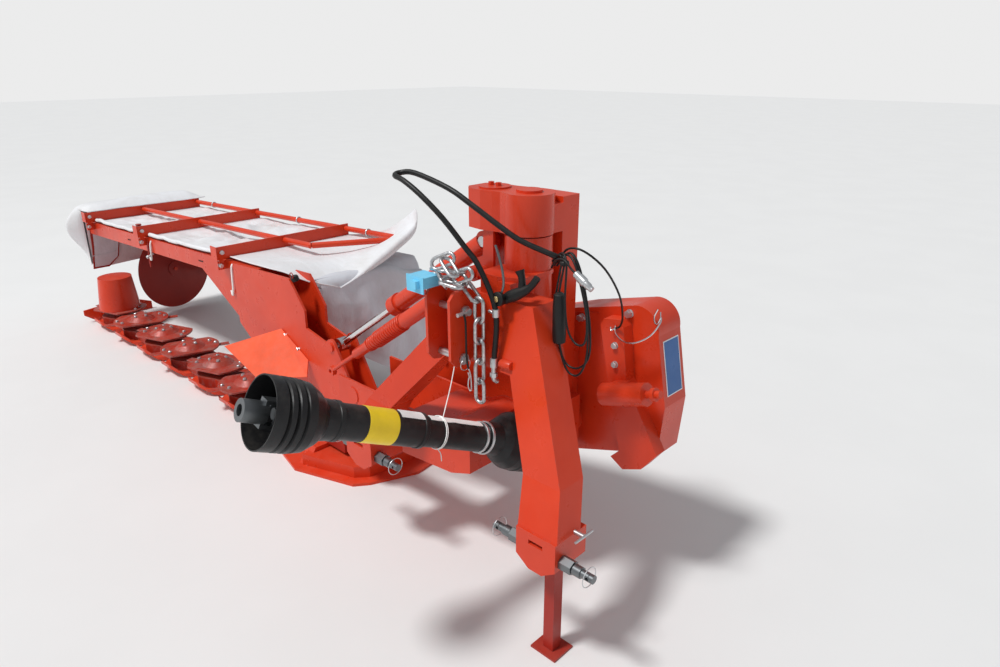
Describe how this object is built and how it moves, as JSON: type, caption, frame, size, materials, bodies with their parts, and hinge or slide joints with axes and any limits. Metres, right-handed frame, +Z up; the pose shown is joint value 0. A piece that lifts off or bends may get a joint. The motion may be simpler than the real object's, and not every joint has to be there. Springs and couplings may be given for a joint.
{
  "type": "mounted disc mower",
  "caption": "Mounted disc mower: three-point hitch frame with drive shaft, swivelling tower and arm, and a low disc cutter bar under a folding canvas cover.",
  "frame": {"origin": "on the ground, under the middle of the parked machine's box", "axes": "+X to the machine's right, out along the cutter bar; +Y forward, to the tractor; +Z up"},
  "size_m": [5.058, 1.8651, 1.548],
  "materials": {
    "red_paint": "glossy orange-red machine paint",
    "shade_red": "glossy deep red paint",
    "zinc": "bright zinc",
    "chrome_rod": "polished chrome",
    "dark_steel": "dark phosphated steel",
    "guard_plastic": "black moulded plastic",
    "canvas": "coated light grey canvas"
  },
  "bodies": {
    "headstock": {"hitch_frame": "red_paint", "lower_pin_left": "dark_steel", "lower_pin_right": "dark_steel", "top_link_plates": "red_paint", "top_link_pins": "zinc", "tie_chain": "zinc", "stand_pin": "zinc"},
    "stand": {"parking_stand": "shade_red"},
    "carrier": {"swivel_tower": "red_paint", "pivot_pin": "zinc", "carrying_arm": "red_paint", "belt_housing": "red_paint", "input_bearing": "red_paint", "input_flange": "dark_steel", "release_strut": "red_paint", "hinge_pin": "zinc", "lift_pin": "zinc"},
    "lift_barrel_body": {"lift_barrel": "red_paint"},
    "lift_rod_body": {"lift_rod": "chrome_rod"},
    "spring_body": {"spring_coil": "red_paint"},
    "spring_rod_body": {"spring_rod": "red_paint"},
    "cutterbar": {"cutter_bar": "shade_red", "skid_shoes": "red_paint", "inner_shoe": "red_paint", "bar_gearbox": "shade_red", "hinge_bracket": "red_paint", "gooseneck_beam": "red_paint", "crop_deflector": "red_paint", "outer_shoe": "red_paint", "rear_cover_frame": "red_paint", "rear_canvas": "canvas", "outer_side_frame": "shade_red", "side_canvas": "canvas", "swath_arm": "red_paint"},
    "front_cover": {"front_cover_frame": "red_paint", "front_canvas": "canvas"},
    "swath_wheel": {"swath_disc": "shade_red"},
    "shaft_cross": {"inner_cross": "dark_steel"},
    "shaft_inner": {"guard_inner": "guard_plastic", "inner_fork": "dark_steel"},
    "shaft_outer": {"guard_outer": "guard_plastic", "outer_fork": "dark_steel"},
    "tractor_cross": {"outer_cross": "dark_steel"},
    "tractor_end": {"tractor_yoke": "dark_steel"},
    "rotor_1": {"disc_1": "shade_red", "outer_hat": "red_paint"},
    "rotor_2": {"disc_2": "shade_red"},
    "rotor_3": {"disc_3": "shade_red"},
    "rotor_4": {"disc_4": "shade_red"},
    "rotor_5": {"disc_5": "shade_red"},
    "rotor_6": {"disc_6": "shade_red"},
    "rotor_7": {"disc_7": "shade_red"}
  },
  "joints": [
    {"name": "breakaway_turn", "type": "hinge", "parent": "headstock", "child": "carrier", "pos_m": [-1.934, -0.14455, 1.2], "axis": [0, 0, -1], "range_deg": [0, 15]},
    {"name": "bar_fold", "type": "hinge", "parent": "carrier", "child": "cutterbar", "pos_m": [-0.964, -0.12455, 0.305], "axis": [0, -1, 0], "range_deg": [-15, 88]},
    {"name": "lift_barrel_turn", "type": "hinge", "parent": "carrier", "child": "lift_barrel_body", "pos_m": [-1.754, -0.12455, 1.335], "axis": [0, -1, 0], "range_deg": [-26.8, 4.57]},
    {"name": "lift_rod_slide", "type": "slide", "parent": "lift_barrel_body", "child": "lift_rod_body", "axis": [0.8269, 0, -0.5623], "range_m": [-0.2857, 0.0487]},
    {"name": "spring_turn", "type": "hinge", "parent": "carrier", "child": "spring_body", "pos_m": [-1.792, -0.01955, 1.24], "axis": [0, -1, 0], "range_deg": [-18.71, 3.19]},
    {"name": "spring_rod_slide", "type": "slide", "parent": "spring_body", "child": "spring_rod_body", "axis": [0.8236, 0, -0.5672], "range_m": [-0.2314, 0.0394]},
    {"name": "cover_swing", "type": "hinge", "parent": "cutterbar", "child": "front_cover", "pos_m": [1.049, -0.03655, 0.84649], "axis": [0.999, 0, -0.0458], "range_deg": [-178, 0]},
    {"name": "stand_slide", "type": "slide", "parent": "headstock", "child": "stand", "axis": [0, 0, 1], "range_m": [0, 0.1]},
    {"name": "swath_disc_spin", "type": "hinge", "parent": "cutterbar", "child": "swath_wheel", "pos_m": [2.336, -0.60655, 0.345], "axis": [0.9781, 0.2079, 0], "continuous": true},
    {"name": "shaft_yaw_turn", "type": "hinge", "parent": "carrier", "child": "shaft_cross", "pos_m": [-1.959, -0.07455, 0.6], "axis": [0, 0, 1], "range_deg": [-12, 16]},
    {"name": "shaft_pitch_turn", "type": "hinge", "parent": "shaft_cross", "child": "shaft_inner", "pos_m": [-1.959, -0.07455, 0.6], "axis": [0.9888, -0.1495, 0], "range_deg": [-34, 6]},
    {"name": "shaft_slide", "type": "slide", "parent": "shaft_inner", "child": "shaft_outer", "axis": [0.1367, 0.904, 0.4051], "range_m": [-0.11, 0.16]},
    {"name": "yoke_pitch_turn", "type": "hinge", "parent": "shaft_outer", "child": "tractor_cross", "pos_m": [-1.82502, 0.81134, 0.99704], "axis": [0.9888, -0.1495, 0], "range_deg": [-30, 30]},
    {"name": "yoke_yaw_turn", "type": "hinge", "parent": "tractor_cross", "child": "tractor_end", "pos_m": [-1.82502, 0.81134, 0.99704], "axis": [-0.0606, -0.4006, 0.9143], "range_deg": [-30, 30]},
    {"name": "disc_1_spin", "type": "hinge", "parent": "cutterbar", "child": "rotor_1", "pos_m": [2.261, -0.11455, 0.14], "axis": [0, 0, 1], "continuous": true},
    {"name": "disc_2_spin", "type": "hinge", "parent": "cutterbar", "child": "rotor_2", "pos_m": [1.857, -0.11455, 0.14], "axis": [0, 0, 1], "continuous": true},
    {"name": "disc_3_spin", "type": "hinge", "parent": "cutterbar", "child": "rotor_3", "pos_m": [1.453, -0.11455, 0.14], "axis": [0, 0, 1], "continuous": true},
    {"name": "disc_4_spin", "type": "hinge", "parent": "cutterbar", "child": "rotor_4", "pos_m": [1.049, -0.11455, 0.14], "axis": [0, 0, 1], "continuous": true},
    {"name": "disc_5_spin", "type": "hinge", "parent": "cutterbar", "child": "rotor_5", "pos_m": [0.645, -0.11455, 0.14], "axis": [0, 0, 1], "continuous": true},
    {"name": "disc_6_spin", "type": "hinge", "parent": "cutterbar", "child": "rotor_6", "pos_m": [0.241, -0.11455, 0.14], "axis": [0, 0, 1], "continuous": true},
    {"name": "disc_7_spin", "type": "hinge", "parent": "cutterbar", "child": "rotor_7", "pos_m": [-0.163, -0.11455, 0.14], "axis": [0, 0, 1], "continuous": true}
  ],
  "couplings": [
    {"joint": "lift_barrel_turn", "follows": "bar_fold", "ratio": -0.30455},
    {"joint": "lift_rod_slide", "follows": "bar_fold", "m_per_rad": -0.18602},
    {"joint": "spring_turn", "follows": "bar_fold", "ratio": -0.21256},
    {"joint": "spring_rod_slide", "follows": "bar_fold", "m_per_rad": -0.15063},
    {"joint": "disc_2_spin", "follows": "disc_1_spin", "ratio": -1},
    {"joint": "disc_3_spin", "follows": "disc_1_spin", "ratio": 1},
    {"joint": "disc_4_spin", "follows": "disc_1_spin", "ratio": -1},
    {"joint": "disc_5_spin", "follows": "disc_1_spin", "ratio": 1},
    {"joint": "disc_6_spin", "follows": "disc_1_spin", "ratio": -1},
    {"joint": "disc_7_spin", "follows": "disc_1_spin", "ratio": 1}
  ]
}
